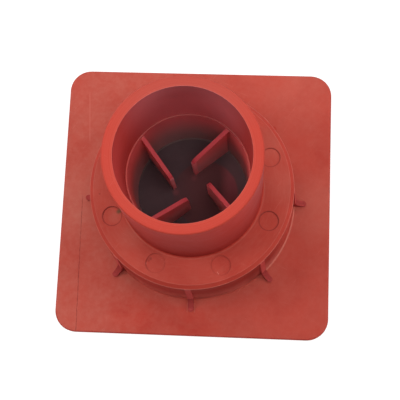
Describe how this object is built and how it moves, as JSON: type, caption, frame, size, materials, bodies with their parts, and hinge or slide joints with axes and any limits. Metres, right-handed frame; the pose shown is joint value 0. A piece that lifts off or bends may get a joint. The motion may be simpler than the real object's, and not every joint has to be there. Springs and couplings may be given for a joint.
{
  "type": "rebar safety cap",
  "caption": "Square-topped rebar safety cap: a flat impact plate with a gusseted drum and a round sleeve whose inner fins grip the bar above a steel disc.",
  "frame": {"origin": "centre of the impact plate's outer face, which lies on the ground", "axes": "+Z along the sleeve, out of its mouth; X and Y along the plate's sides"},
  "size_m": [0.1016, 0.1016, 0.0762],
  "materials": {
    "red_plastic": "matte moulded polyethylene, faded and dusty on the plate",
    "disc_steel": "dull dark steel sheet"
  },
  "bodies": {
    "root": {"cap_body": "red_plastic", "steel_disc": "disc_steel"}
  },
  "joints": []
}
